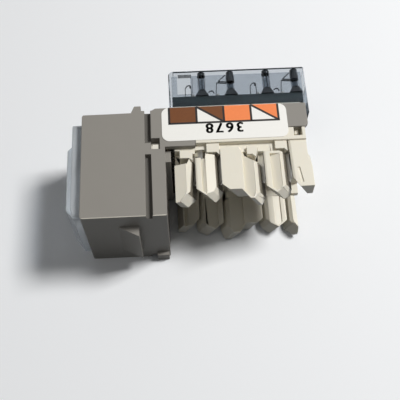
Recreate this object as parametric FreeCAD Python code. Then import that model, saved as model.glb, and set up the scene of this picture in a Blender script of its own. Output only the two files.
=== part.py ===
"""Right-angle keystone jack lying on its side: port toward -X, wire posts toward -Y.

Origin in the middle of the port block's resting side; X runs from the port to the rear, Y from the
posts to the board cover, Z up across the jack. Shapes are drawn from the block's corner (X=0 the
port face, Y=0 the face with the fixed catch) and moved there when written. Millimetres.
"""
import FreeCAD, Part
import math
import os

from FreeCAD import Vector

os.makedirs("parts", exist_ok=True)

# ---- overall sizes -------------------------------------------------------------------------
BODY_W = 14.5            # across the jack (Z), the keystone width
BLOCK_D = 11.64          # port block, front to back (X)
BLOCK_H = 16.25          # port block, catch face to far face (Y)
STEP_UP = 0.65           # board plane above the block's far face (Y)
FIT = 0.05               # gap in a snapped joint
SLIP = 0.15              # gap round the removable cap
EDGE = 0.25              # small edge break
BITE = 0.2               # how far one moulded shape sinks into the next
OVER = 1.0               # how far a cutter runs past the face it opens
BOARD_UP = 0.65          # board above that plane, on the housing's foot (Y)
BOARD_Y = BLOCK_H + STEP_UP    # plane the cover's rim and the cheeks share
SEAT_Y = BOARD_Y + BOARD_UP    # near face of the board
MID = BODY_W / 2.0

# ---- port ----------------------------------------------------------------------------------
PORT_W = 11.7            # opening across (Z)
PORT_H = 6.8             # opening height (Y)
PORT_BACK = 0.74         # wall behind the opening (X)
KEY_STEPS = ((6.3, 1.4), (3.3, 1.3))     # (width, height) of the two latch steps
CARRIER_H = 2.4          # contact carrier beside the opening (Y)
SILL_T = 1.8             # frame between the carrier and the board plane (Y)
PORT_D = BLOCK_D - PORT_BACK
PORT_Y0 = BOARD_Y - SILL_T - CARRIER_H - PORT_H
PORT_Y1 = PORT_Y0 + PORT_H
SIDE_T = (BODY_W - PORT_W) / 2.0

# ---- side features of the block ------------------------------------------------------------
CATCH_X0 = 4.9           # start of the fixed catch ramp
CATCH_X1 = 7.7           # its square end
CATCH_OUT = 1.5          # how far it stands out
CATCH_W = 8.1            # its width
HUMP_X0 = 6.95           # sprung catch's hump, ramp start
HUMP_X1 = 8.35           # its square end
HUMP_OUT = 1.15          # how far it stands out
HUMP_RAMP = 0.5          # length of its ramp
HUMP_STEP = 0.3          # rise between the hump and the board plane
HUMP_RISE = (1.74, 1.14)                 # where that rise slopes up, from the block's rear
GROOVE_BACK = 2.79       # side groove's front edge, from the block's rear
GROOVE_W = 0.85
GROOVE_DEEP = 0.5
GROOVE_GAP = (9.4, 11.2)                 # the stretch without groove
WINDOW_BACK = 1.94       # side window's front edge, from the block's rear
WINDOW_L = 1.25          # window along X
WINDOW_H = 1.75          # window along Y
WINDOW_UP = 6.7          # window's lower edge, from the board plane
WINDOW_DEEP = SIDE_T + 0.6
STUB_BACK = 1.9          # small foot by the resting side, from the block's rear
STUB_L = 1.75
STUB_OUT = 0.6
STUB_W = 1.8
HOLLOW_X = 3.0           # front of the core-out beside the key
HOLLOW_Y = (0.31, 0.72)                  # its edges, as parts of the wall's height
HOLLOW_SIDE = 1.5        # wall left at its sides

# ---- terminal housing ----------------------------------------------------------------------
POST_BACK = 10.31        # middle of the post rows behind the block (X)
POST_FRONT = 9.0         # first post's outer edge from that middle
POST_REAR = 9.5          # last post's outer edge from that middle
POST_TOP = 0.3           # post row's outer face below the body's side
ROW_T = 2.4              # row thickness (Z)
ROW_SKEW = 1.25          # sideways run of the skewed slots over that thickness
SLOT_W = 0.56            # wire slot
SLOT_IN = 2.97           # inner slots from the middle
SLOT_PAIR = 3.61         # between the slots of a pair
ROOT_UP = 7.6            # bottom of the slots, from the board plane
ROOT_RUN = 1.3           # how far the row's root reaches along the posts
ROOT_DROP = 0.5          # root below the posts' inner face
FLOOR_UP = 7.3           # floor of the cable channel, from the board plane
STRIP_UP = 6.4           # cheek edge beside the block, from the board plane
RAIL_UP = 6.0            # open edge of the rail, from the board plane
CHEEK_UP = 4.0           # cheek edge next to the rail, from the board plane
BASE_DROP = 2.35         # base surface under the lugs, below the body's side
TIP_OVER = 0.42          # last post's tip beyond the housing's end
TIP_NECK = 8.25          # where it starts to, from the board plane
POST_C = BLOCK_D + POST_BACK
POST_X0 = POST_C - POST_FRONT
POST_X1 = POST_C + POST_REAR
ROOT_Y = BOARD_Y - ROOT_UP
FLOOR_Y = BOARD_Y - FLOOR_UP
STRIP_Y = BOARD_Y - STRIP_UP
RAIL_Y = BOARD_Y - RAIL_UP
CHEEK_Y = BOARD_Y - CHEEK_UP
SLOTS = (-SLOT_IN - SLOT_PAIR, -SLOT_IN, SLOT_IN, SLOT_IN + SLOT_PAIR)
# Post outlines at the outer face, root to tip and back. Each corner: which edge of the post it is
# measured from (0 left, 1 right), the distance along X, and the distance from the board plane.
POSTS = (
    ((0, 0, 9.9), (0, 0, 14.75), (0, 0.85, 14.75), (1, -0.24, 13.6), (1, 0, 13.0), (1, 0, 8.8)),
    ((0, 0, 8.6), (0, 0, 12.95), (0, 1.43, 14.1), (1, -0.45, 13.4), (1, 0, 12.6), (1, 0, 8.4)),
    ((0, 0, 6.7), (0, 0, 12.45), (0, 0.99, 13.3), (0, 2.59, 13.3), (1, -1.69, 14.75),
     (1, -0.74, 14.75), (1, -0.14, 13.7), (1, 0, 13.3), (1, 0, 9.1), (1, -1.24, 8.7),
     (1, -2.34, 7.9), (1, -2.74, 6.7)),
    ((0, 0, 8.6), (0, 0, 12.95), (0, 1.4, 14.05), (1, -0.4, 13.4), (1, 0, 12.7), (1, 0, 8.4)),
    ((0, 0, 6.0), (0, 0, 11.9), (0, 1.06, 13.3), (1, TIP_OVER, 13.25), (1, TIP_OVER, 10.3),
     (1, 0, TIP_NECK), (1, 0, 6.0)),
)
# Bevels on the outer face: the post, its edge, how far in the bevel starts, and its depth.
BEVELS = ((0, 1, 0.3, 0.3), (1, 0, 0.3, 0.14), (1, 1, 1.1, 0.38), (2, 1, 0.45, 0.4),
          (3, 0, 0.3, 0.14), (3, 1, 0.34, 0.3), (4, 0, 0.39, 0.2))
INNER_BEVEL = (0.3, 0.25)                # on both edges of every post's inner face
# Hollow panels on the posts, inside a raised rim, in the same order and measured alike; the last
# post has none. Their floors are shallow by the slot that they lead to and fall away from it.
PANELS = (
    ((0, -0.3, 8.0), (0, -0.3, 15.2), (0, 0.6, 15.2), (1, -0.5, 13.75), (1, -0.3, 13.1),
     (1, -0.3, 8.0)),
    ((0, 0.87, 8.0), (0, 0.87, 13.3), (0, 1.43, 13.8), (1, -1.15, 13.45), (1, -1.15, 8.0)),
    ((0, 3.0, 6.5), (0, 3.0, 13.55), (0, 3.75, 14.5), (1, -0.8, 14.5), (1, -0.45, 13.7),
     (1, -0.45, 6.5)),
    ((0, 0.92, 8.0), (0, 0.92, 13.3), (0, 1.4, 13.75), (1, -0.6, 13.35), (1, -0.34, 12.9),
     (1, -0.34, 8.0)),
    (),
)
PANEL_RIM = 0.06         # depth of the floor at its shallow side
PANEL_FALL = (0.3, 0.14)                 # slope of the outer and the inner floors
# Square lugs beside the slots: from the slot, then from the board plane.
LUGS = ((-1.77, 0.03, 8.2, 7.0), (-1.58, 0.22, 7.4, 5.95), (-1.92, -0.32, 7.95, 6.7),
        (-1.53, 0.17, 7.25, 5.95))
LUG_CORNER = 0.45
RIB_L = 2.0              # slanted rib between the lugs of a pair
RIB_RISE = 0.9
RIB_UP = 7.4             # its foot, from the board plane
RIB_T = 0.7
POCKET_L = 1.15          # small side pocket near the rear end
POCKET_BACK = 0.45
POCKET_H = 1.7
POCKET_UP = 5.4
POCKET_DEEP = 2.2
LATCH_L = 0.6            # light latch seen in the pocket
LATCH_H = 0.7
LATCH_DROP = 1.0

# ---- cheeks --------------------------------------------------------------------------------
CHEEK_T = 0.8            # cheek thickness (Z)
CHEEK_OVER = 0.55        # cheeks beyond the housing's end (X)
STRIP_L = 4.26           # deeper part of the cheek, behind the block
SILL_L = 0.76            # sill beyond the block's rear
WEB_IN = 1.2             # rear web's inset from the sides
WEB_H = 1.8
REAR_X = POST_X1 + CHEEK_OVER
STRIP_X = BLOCK_D + STRIP_L
SILL_X = BLOCK_D + SILL_L
SKIN = CHEEK_T + FIT

# ---- blades --------------------------------------------------------------------------------
BLADE_W = 2.0
BLADE_T = 0.4
BLADE_UP = 11.8          # fork tips, from the board plane
BLADE_SLIT = 0.3
BLADE_MOUTH = 1.1        # slit's mouth
BLADE_LEAD = 0.7         # length of the mouth's taper
BLADE_DEEP = 1.25        # blade's middle below the post row's face
SLIT_UP = 7.5            # end of the slit, from the board plane
SHOULDER_UP = 6.3        # shoulders, from the board plane
SHOULDER_H = 0.6
STEM_W = 0.8
TAIL_W = 0.45
TAIL_OUT = 0.7           # soldered tails beyond the board
PIN_R = 0.33             # holes for the blade tails

# ---- board and cover -----------------------------------------------------------------------
BOARD_T = 1.6
COVER_H = 6.4            # tray height over the board plane
COVER_IN = 0.15          # tray's side inset from the body's side
COVER_T = 0.45
COVER_TOP = 0.6          # tray's far wall
COVER_R = 0.8            # its corner radius
BOARD_GAP = 0.1          # between the board's edge and the tray
BOSSES = (-4.65, -0.4, 4.9, 9.1)         # bosses along X, from the post rows' middle
BOSS_R = 0.62
BOSS_BORE = 0.3
BOSS_DROP = 0.95         # boss middle below the body's side
BOSS_FOOT = 0.95         # radius of its flared foot
BOSS_FLARE = 0.8         # height of the flare
CUT_BACK = 1.27          # window in the tray's sides, from its front wall
CUT_L = 1.95
CUT_UP = 0.1             # its near edge, from the board's far face
CUT_H = 3.5
CLIP_H = 1.6             # end clip
CLIP_W = 2.15
BOARD_FAR = SEAT_Y + BOARD_T
COVER_Y = BOARD_Y + COVER_H
COVER_X0 = POST_X0 - FIT - COVER_T
COVER_X1 = REAR_X + COVER_T
COVER_W = BODY_W - 2 * COVER_IN
BOARD_X0 = POST_X0
BOARD_X1 = REAR_X - FIT
BOARD_W = COVER_W - 2 * COVER_T - 2 * BOARD_GAP

# ---- contacts and their carrier ------------------------------------------------------------
PITCH = 1.016
WIRE = 0.34
WIRE_GAP = 0.08          # room for each wire in the carrier
RUN_UP = 1.2             # straight run of the wires, behind the opening's side
NOSE_X = 2.7             # front bend of the wires
TIP_BACK = 0.6           # free end, from the back wall
TIP_UP = 3.3             # free end, from the key side of the opening
TAIL_XS = (2.46, 1.86)   # staggered tails, behind the block
HOLE_R = 0.29            # holes for them in the board
CARRIER_X0 = 1.75
BOX_L = 2.0              # carrier's rear box, behind the sill
BOX_IN = 2.1             # how much narrower it is than the opening
COMB_L = 1.15            # comb that guides the free ends
COMB_UP = 2.4            # its near side, from the key side of the opening
COMB_LIP = 0.35          # its lip beyond the wires
LUG_L = 0.8              # side lug in the frame's window
LUG_DROP = 0.35
LUG_IN = 0.25            # its inset in the window
TAIL_Y = BOARD_FAR + TAIL_OUT
BOX_X = SILL_X + FIT + BOX_L
BOX_W = PORT_W - BOX_IN

# ---- label ---------------------------------------------------------------------------------
LABEL_FRONT = 0.34       # label's front edge ahead of the block's rear
LABEL_BACK = 2.35        # its rear edge ahead of the housing's end
LABEL_UP = 5.6           # its near edge, from the board plane
LABEL_T = 0.1
LABEL_R = 1.1

# ---- dust cap ------------------------------------------------------------------------------
CAP_T = 1.45             # plate thickness
CAP_THIN = 0.9           # plate's thinner end
CAP_W = 11.9             # plate width
CAP_Y = (0.55, 0.6)      # plate's edges in from the block's two faces
CAP_R = 1.0              # plate's corner radius
RAISED_T = 0.75          # raised middle
RAISED_W = 10.2
RAISED_IN = (2.3, 4.5)   # its ends in from the block's two faces
RAISED_SLOPE = (1.7, 0.7)                # how far its ends slope
SKIRT_L = 2.3            # skirt inside the port
SKIRT_T = 0.6


def box(x0, x1, y0, y1, z0, z1):
    """Box between two corners."""
    return Part.makeBox(x1 - x0, y1 - y0, z1 - z0, Vector(x0, y0, z0))


def mid_box(x0, x1, y0, y1, width):
    """Box centred across the jack."""
    return box(x0, x1, y0, y1, MID - width / 2.0, MID + width / 2.0)


def plate(corners, push):
    """Flat outline pushed along a vector."""
    return Part.Face(Part.makePolygon(corners + corners[:1])).extrude(push)


def prism(points, z0, z1):
    """Outline in XY pushed along Z."""
    return plate([Vector(x, y, z0) for x, y in points], Vector(0, 0, z1 - z0))


def mirrored(shape):
    """The same shape on the other side of the middle plane."""
    return shape.mirror(Vector(0, 0, MID), Vector(0, 0, 1))


def join(shapes):
    """One clean solid from touching shapes."""
    first, rest = shapes[0], shapes[1:]
    return (first.fuse(rest) if rest else first).removeSplitter()


def ribbon(points, thick):
    """Closed outline of a bent strip along a centre line, with mitred corners."""
    half = thick / 2.0
    left, right = [], []
    for i, (x, y) in enumerate(points):
        before = points[i - 1] if i else None
        after = points[i + 1] if i + 1 < len(points) else None
        dirs = []
        if before:
            dirs.append((x - before[0], y - before[1]))
        if after:
            dirs.append((after[0] - x, after[1] - y))
        units = [(a / math.hypot(a, b), b / math.hypot(a, b)) for a, b in dirs]
        nx = -sum(b for _, b in units) / len(units)
        ny = sum(a for a, _ in units) / len(units)
        scale = half / (nx * nx + ny * ny)
        left.append((x + nx * scale, y + ny * scale))
        right.append((x - nx * scale, y - ny * scale))
    return left + right[::-1]


def port_cut():
    """Plug opening with its two latch steps."""
    cuts = [mid_box(-OVER, PORT_D, PORT_Y0, PORT_Y1, PORT_W)]
    low = PORT_Y0
    for width, height in KEY_STEPS:
        cuts.append(mid_box(-OVER, PORT_D, low - height, low, width))
        low -= height
    return join(cuts)


def key_low():
    """Lowest side of the latch steps."""
    return PORT_Y0 - sum(height for _, height in KEY_STEPS)


def block_outline():
    """Side outline of the block with the sprung catch's hump on the far edge."""
    rise = BLOCK_H + HUMP_STEP
    top = BLOCK_H + HUMP_OUT
    return [(EDGE, 0), (BLOCK_D, 0), (BLOCK_D, BOARD_Y), (BLOCK_D - HUMP_RISE[1], BOARD_Y),
            (BLOCK_D - HUMP_RISE[0], rise), (HUMP_X1, rise), (HUMP_X1, top),
            (HUMP_X0 + HUMP_RAMP, top), (HUMP_X0, BLOCK_H), (EDGE, BLOCK_H),
            (0, BLOCK_H - EDGE), (0, EDGE)]


def cheek_outline():
    """Side outline of the cheek that runs back beside the housing."""
    start = BLOCK_D - BITE
    corner = 2 * EDGE
    return [(start, STRIP_Y), (STRIP_X, STRIP_Y), (STRIP_X, CHEEK_Y),
            (REAR_X - corner, CHEEK_Y), (REAR_X, CHEEK_Y + corner), (REAR_X, BOARD_Y),
            (start, BOARD_Y)]


def jack_frame():
    """Grey port block with its catches, cheeks and rear web."""
    start = BLOCK_D - BITE
    cheek = prism(cheek_outline(), BODY_W - CHEEK_T, BODY_W)
    ramp = prism([(CATCH_X0, BITE), (CATCH_X0, 0), (CATCH_X1, -CATCH_OUT), (CATCH_X1, BITE)],
                 MID - CATCH_W / 2.0, MID + CATCH_W / 2.0)
    stub_x = BLOCK_D - STUB_BACK
    stub = box(stub_x, stub_x + STUB_L, -STUB_OUT, BITE, 0, STUB_W)
    web = mid_box(start, SILL_X, STRIP_Y - WEB_H, STRIP_Y, BODY_W - 2 * WEB_IN)
    roof = PORT_Y1 + CARRIER_H + FIT
    sill = mid_box(start, SILL_X, roof, BOARD_Y, BODY_W)
    body = join([prism(block_outline(), 0, BODY_W), cheek, mirrored(cheek), ramp, stub, web, sill])
    wall = key_low()
    cuts = [port_cut(),
            mid_box(CARRIER_X0 - SLIP, SILL_X + OVER, PORT_Y1 - BITE, roof, PORT_W),
            mid_box(HOLLOW_X, BLOCK_D + OVER, wall * HOLLOW_Y[0], wall * HOLLOW_Y[1],
                    BODY_W - 2 * HOLLOW_SIDE)]
    groove_x = BLOCK_D - GROOVE_BACK
    for y0, y1 in ((-OVER, GROOVE_GAP[0]), (GROOVE_GAP[1], BOARD_Y + OVER)):
        groove = box(groove_x, groove_x + GROOVE_W, y0, y1, BODY_W - GROOVE_DEEP, BODY_W + OVER)
        cuts += [groove, mirrored(groove)]
    x0 = BLOCK_D - WINDOW_BACK
    y0 = BOARD_Y - WINDOW_UP
    window = box(x0, x0 + WINDOW_L, y0, y0 + WINDOW_H, BODY_W - WINDOW_DEEP, BODY_W + OVER)
    cuts += [window, mirrored(window)]
    return body.cut(cuts).removeSplitter()


def slots():
    """Slot middles along the row at the outer face."""
    return [POST_C + off for off in SLOTS]


def post_edges(swapped):
    """Both edges of each post at the outer face, from the end that the outlines start at."""
    half = SLOT_W / 2.0
    end = POST_C + POST_FRONT if swapped else POST_X1
    lefts = [POST_X0] + [x + half for x in slots()]
    rights = [x - half for x in slots()] + [end]
    pairs = list(zip(lefts, rights))
    return [pair[::-1] for pair in pairs[::-1]] if swapped else pairs


def bevel_cut(x, way, reach, depth, face_z, inward):
    """Cutter for a bevel that starts at an edge: way is its side, inward points into the post."""
    past = x - way * BITE
    tri = [Vector(x + way * reach, 0, face_z), Vector(past, 0, face_z - inward * BITE / 2),
           Vector(past, 0, face_z + inward * depth * (1 + BITE / reach))]
    return plate(tri, Vector(0, BOARD_Y, 0))


def panel_cut(corners, way, fall, face_z, inward):
    """Cutter for a hollow panel whose floor falls away from its slot."""
    ends = sorted([x for x, _ in corners], key=lambda x: -way * x)
    near, far = ends[0], ends[-1]
    deep = PANEL_RIM + fall * abs(far - near)
    side = [Vector(near, 0, face_z - inward * BITE), Vector(far, 0, face_z - inward * BITE),
            Vector(far, 0, face_z + inward * deep), Vector(near, 0, face_z + inward * PANEL_RIM)]
    wedge = plate(side, Vector(0, BOARD_Y, 0))
    return wedge.common(prism(corners, face_z - BODY_W / 4, face_z + BODY_W / 4))


def post_row(swapped=False):
    """Pointed posts on the upper side, skewed so the wire slots run at an angle.

    The lower row has its outlines from the other end, while its slots lean the same way.
    """
    face_z = BODY_W - POST_TOP
    back_z = face_z - ROW_T
    run = Vector(ROW_SKEW, 0, -ROW_T)
    way = -1 if swapped else 1
    ends = mid_box(POST_X0, POST_C + POST_FRONT if swapped else POST_X1, 0, BOARD_Y, BODY_W)
    if not swapped:
        ends = ends.fuse(mid_box(POST_X0, POST_X1 + TIP_OVER, 0, BOARD_Y - TIP_NECK, BODY_W))
    pieces = []
    for number, (outline, panel, edges) in enumerate(zip(POSTS, PANELS, post_edges(swapped))):
        line = [(edges[side] + way * dx, BOARD_Y - up) for side, dx, up in outline]
        if line[0][1] < ROOT_Y:
            line = [(line[0][0], ROOT_Y)] + line + [(line[-1][0], ROOT_Y)]
        post = plate([Vector(x, y, face_z) for x, y in line], run).common(ends)
        cuts = [bevel_cut(edges[side], -way if side else way, reach, depth, face_z, -1)
                for index, side, reach, depth in BEVELS if index == number]
        cuts += [bevel_cut(edges[side] + ROW_SKEW, -way if side else way, *INNER_BEVEL, back_z, 1)
                 for side in (0, 1)]
        if panel:
            flat = [(edges[side] + way * dx, BOARD_Y - up) for side, dx, up in panel]
            back = [(x + ROW_SKEW, y) for x, y in flat]
            cuts.append(panel_cut(flat, way, PANEL_FALL[0], face_z, -1))
            cuts.append(panel_cut(back, way, PANEL_FALL[1], back_z, 1))
        pieces.append(post.cut(cuts))
    return pieces


def root_steps():
    """Lugs and slanted ribs between the posts and the rail, upper side."""
    face_z = BODY_W - POST_TOP
    base_z = BODY_W - BASE_DROP
    out = []
    for slot, (dx0, dx1, up0, up1) in zip(slots(), LUGS):
        x0, x1, y0, y1 = slot + dx0, slot + dx1, BOARD_Y - up0, BOARD_Y - up1
        tri = [(x0, y0), (x1 - LUG_CORNER, y0), (x1, y0 - LUG_CORNER), (x1, y1), (x0, y1)]
        out.append(prism(tri, base_z - BITE, face_z))
    foot = BOARD_Y - RIB_UP
    for slot, lug in list(zip(slots(), LUGS))[::2]:
        x0 = slot + lug[1]
        out.append(prism([(x0, foot), (x0 + RIB_L, foot + RIB_RISE), (x0 + RIB_L, RAIL_Y),
                          (x0, foot + 0.66 * RIB_RISE)], base_z - BITE, base_z + RIB_T))
    return out


def blade_frame(shape, slot_x):
    """Turn and place a blade-shaped solid drawn at the origin, upper row."""
    z = BODY_W - POST_TOP - BLADE_DEEP
    x = slot_x + ROW_SKEW * BLADE_DEEP / ROW_T
    placed = shape.copy()
    placed.rotate(Vector(0, 0, 0), Vector(0, 1, 0), -math.degrees(math.atan2(ROW_SKEW, ROW_T)))
    placed.translate(Vector(x, 0, z))
    return placed


def blade_shape(grow):
    """Forked blade with its shoulders and stem, or the room for it when grown."""
    half = BLADE_W / 2.0 + grow
    stem = STEM_W / 2.0 + grow
    t = BLADE_T / 2.0 + grow
    top = BOARD_Y - BLADE_UP - grow
    low = BOARD_Y - SHOULDER_UP
    pts = [(-half, top + EDGE), (-half + EDGE, top), (half - EDGE, top), (half, top + EDGE),
           (half, low), (stem, low + SHOULDER_H), (stem, SEAT_Y), (-stem, SEAT_Y),
           (-stem, low + SHOULDER_H), (-half, low)]
    return plate([Vector(x, y, -t) for x, y in pts], Vector(0, 0, 2 * t))


def idc_blade(slot_x):
    """Slotted contact blade with its soldered tail, upper row."""
    mouth = BLADE_MOUTH / 2.0
    slit = BLADE_SLIT / 2.0
    tip = BOARD_Y - BLADE_UP
    end = BOARD_Y - SLIT_UP
    pts = [(-mouth, tip - EDGE / 2), (-slit, tip + BLADE_LEAD), (-slit, end), (slit, end),
           (slit, tip + BLADE_LEAD), (mouth, tip - EDGE / 2)]
    cut = plate([Vector(x, y, -BLADE_T) for x, y in pts], Vector(0, 0, 2 * BLADE_T))
    tail = Part.makeBox(TAIL_W, TAIL_Y - SEAT_Y + BITE, BLADE_T,
                        Vector(-TAIL_W / 2, SEAT_Y - BITE, -BLADE_T / 2))
    return blade_frame(join([blade_shape(0.0).cut(cut), tail]), slot_x)


def slot_cutters():
    """Skewed cutters for the wire slots, upper side."""
    reach = 0.3
    run = Vector(ROW_SKEW, 0, -ROW_T) * (1 + 2 * reach)
    cutters = []
    for x in slots():
        start = Vector(x - ROW_SKEW * reach, 0, BODY_W - POST_TOP + ROW_T * reach)
        ring = [(-SLOT_W / 2, 0), (SLOT_W / 2, 0), (SLOT_W / 2, ROOT_Y), (-SLOT_W / 2, ROOT_Y)]
        cutters.append(plate([start + Vector(a, b, 0) for a, b in ring], run))
    return cutters


def terminal_housing():
    """White moulding: base, rails, lugs and both rows of posts."""
    base = box(POST_X0, POST_X1, FLOOR_Y, SEAT_Y, SKIN, BODY_W - SKIN)
    base = base.cut(mid_box(POST_X0 - OVER, BOX_X + FIT, PORT_Y1 - FIT, SEAT_Y + OVER,
                            BOX_W + 2 * FIT))
    rail = box(STRIP_X + FIT, POST_X1, RAIL_Y, CHEEK_Y - FIT, MID, BODY_W)
    x1 = POST_X1 - POCKET_BACK
    y0 = BOARD_Y - POCKET_UP
    notch = box(x1 - POCKET_L, x1, y0, y0 + POCKET_H, BODY_W - POCKET_DEEP, BODY_W + OVER)
    lx = x1 - POCKET_L + LUG_IN
    ly = y0 + POCKET_H / 2
    latch = box(lx, lx + LATCH_L, ly - LATCH_H / 5, ly + LATCH_H, BODY_W - POCKET_DEEP - BITE,
                BODY_W - LATCH_DROP)
    row_z = BODY_W - POST_TOP - ROW_T
    root = box(POST_X0, POST_X1, ROOT_Y - ROOT_RUN, RAIL_Y + BITE, row_z - ROOT_DROP,
               BODY_W - BASE_DROP)
    fixed = [root.cut(slot_cutters())] + root_steps() + [rail.cut(notch), latch]
    upper = join(fixed + post_row())
    lower = mirrored(join(fixed + post_row(swapped=True))).cut([
        box(0, STRIP_X + FIT, STRIP_Y - FIT, BOARD_Y, -OVER, SKIN),
        box(0, POST_X0, RAIL_Y - FIT, BOARD_Y, -OVER, MID + OVER),
        mid_box(POST_X0 - OVER, BOX_X + FIT, PORT_Y1 - FIT, BOARD_Y + OVER, BOX_W + 2 * FIT)])
    pockets = [blade_frame(blade_shape(FIT), x) for x in slots()]
    body = join([base.cut(notch), upper, lower])
    return body.cut(pockets + [mirrored(p) for p in pockets]).removeSplitter()


def wire_line(tail_x):
    """Centre line of a contact wire from its soldered tail to its free end."""
    run_y = PORT_Y1 + RUN_UP
    bend = 1.5 * WIRE_GAP + WIRE / 2
    tip_x = PORT_D - TIP_BACK
    tip_y = PORT_Y0 + TIP_UP
    return [(tail_x, TAIL_Y), (tail_x, run_y + bend), (tail_x - bend, run_y),
            (NOSE_X + 1.7 * bend, run_y), (NOSE_X + bend / 3, run_y - 0.85 * bend),
            (NOSE_X, run_y - 2.4 * bend), (NOSE_X + bend, run_y - 3.8 * bend),
            (tip_x - 2 * bend, tip_y + 0.4 * bend), (tip_x, tip_y)]


def wire_z(index):
    """Middle of one wire across the jack."""
    return MID + (index - 3.5) * PITCH


def wire_tail(index):
    """Staggered tail position."""
    return BLOCK_D + TAIL_XS[index % 2]


def contact(index):
    """One spring contact."""
    z = wire_z(index)
    return prism(ribbon(wire_line(wire_tail(index)), WIRE), z - WIRE / 2, z + WIRE / 2)


def contact_carrier():
    """Insulating carrier that holds the contacts, with its comb and side lugs."""
    width = PORT_W - 2 * FIT
    wall = PORT_D - FIT
    comb_y = PORT_Y0 + COMB_UP
    body = [mid_box(CARRIER_X0, SILL_X + FIT, PORT_Y1, PORT_Y1 + CARRIER_H, width),
            mid_box(SILL_X + FIT - BITE, BOX_X, PORT_Y1, PORT_Y1 + CARRIER_H, BOX_W),
            mid_box(SILL_X + FIT, BOX_X, PORT_Y1, BOARD_Y, BOX_W),
            mid_box(POST_X0, BOX_X, BOARD_Y - BITE, SEAT_Y, BOX_W),
            mid_box(wall - COMB_L, wall, comb_y, PORT_Y1 + BITE, width)]
    x0 = BLOCK_D - WINDOW_BACK + LUG_IN
    y0 = BOARD_Y - WINDOW_UP + 2 * FIT
    lug = box(x0, x0 + LUG_L, y0, y0 + LUG_L, MID, BODY_W - LUG_DROP)
    whole = join(body + [lug, mirrored(lug)])
    half = WIRE / 2 + WIRE_GAP
    run_y = PORT_Y1 + RUN_UP
    slot_x = PORT_D - TIP_BACK
    cuts = []
    for i in range(8):
        z = wire_z(i)
        tail = wire_tail(i)
        cuts.append(box(NOSE_X - half, tail + half, PORT_Y1 - BITE, run_y + half,
                        z - half, z + half))
        cuts.append(box(tail - half, tail + half, run_y, SEAT_Y + OVER, z - half, z + half))
        cuts.append(box(wall - COMB_L - OVER, slot_x + half, comb_y + COMB_LIP, PORT_Y1,
                        z - half, z + half))
    return whole.cut(cuts).removeSplitter()


def wiring_board():
    """Board with the contact and blade tails through it."""
    board = mid_box(BOARD_X0, BOARD_X1, SEAT_Y, BOARD_FAR, BOARD_W)
    up = Vector(0, 1, 0)
    length = BOARD_T + 2 * OVER
    holes = [Part.makeCylinder(HOLE_R, length, Vector(wire_tail(i), SEAT_Y - OVER, wire_z(i)), up)
             for i in range(8)]
    pin = Part.makeCylinder(PIN_R, length, Vector(0, SEAT_Y - OVER, 0), up)
    for x in slots():
        hole = blade_frame(pin, x)
        holes += [hole, mirrored(hole)]
    return board.cut(holes)


def board_cover():
    """Smoked tray over the board, with bosses that press on it and end clips."""
    outer = mid_box(COVER_X0, COVER_X1, BOARD_Y, COVER_Y, COVER_W)
    edges = [e for e in outer.Edges
             if abs(e.Vertexes[0].Z - e.Vertexes[-1].Z) > BODY_W / 2
             and e.CenterOfMass.y > COVER_Y - BITE and e.CenterOfMass.x < COVER_X0 + BITE]
    outer = outer.makeFillet(COVER_R, edges)
    inner = mid_box(COVER_X0 + COVER_T, COVER_X1 - COVER_T, BOARD_Y - OVER, COVER_Y - COVER_TOP,
                    COVER_W - 2 * COVER_T)
    cut_x = COVER_X0 + CUT_BACK
    cut_y = BOARD_FAR + CUT_UP
    side = box(cut_x, cut_x + CUT_L, cut_y, cut_y + CUT_H, BODY_W - COVER_IN - 2 * COVER_T,
               BODY_W + OVER)
    parts = [outer.cut([inner, side, mirrored(side)])]
    length = COVER_Y - COVER_TOP + BITE - BOARD_FAR
    up = Vector(0, 1, 0)
    for off in BOSSES:
        foot = Vector(POST_C + off, BOARD_FAR, BODY_W - BOSS_DROP)
        post = Part.makeCylinder(BOSS_R, length, foot, up)
        flare = Part.makeCone(BOSS_FOOT, BOSS_R, BOSS_FLARE, foot, up)
        reach = mid_box(COVER_X0, COVER_X1, BOARD_Y, COVER_Y, COVER_W)
        post = post.fuse(flare).common(reach)
        post = post.cut(Part.makeCylinder(BOSS_BORE, length - OVER, foot, up))
        parts += [post, mirrored(post)]
    clip = box(REAR_X + FIT, COVER_X1, BOARD_Y - CLIP_H, BOARD_Y + BITE,
               BODY_W - COVER_IN - CLIP_W, BODY_W - COVER_IN)
    parts += [clip, mirrored(clip)]
    return join(parts)


def wiring_label():
    """Thin label on the upper side."""
    x0 = BLOCK_D - LABEL_FRONT
    x1 = POST_X1 - LABEL_BACK
    label = box(x0, x1, BOARD_Y - LABEL_UP, BOARD_Y - FIT, BODY_W, BODY_W + LABEL_T)
    edges = [e for e in label.Edges
             if abs(e.Vertexes[0].Z - e.Vertexes[-1].Z) > LABEL_T / 2]
    return label.makeFillet(LABEL_R, edges)


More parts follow.
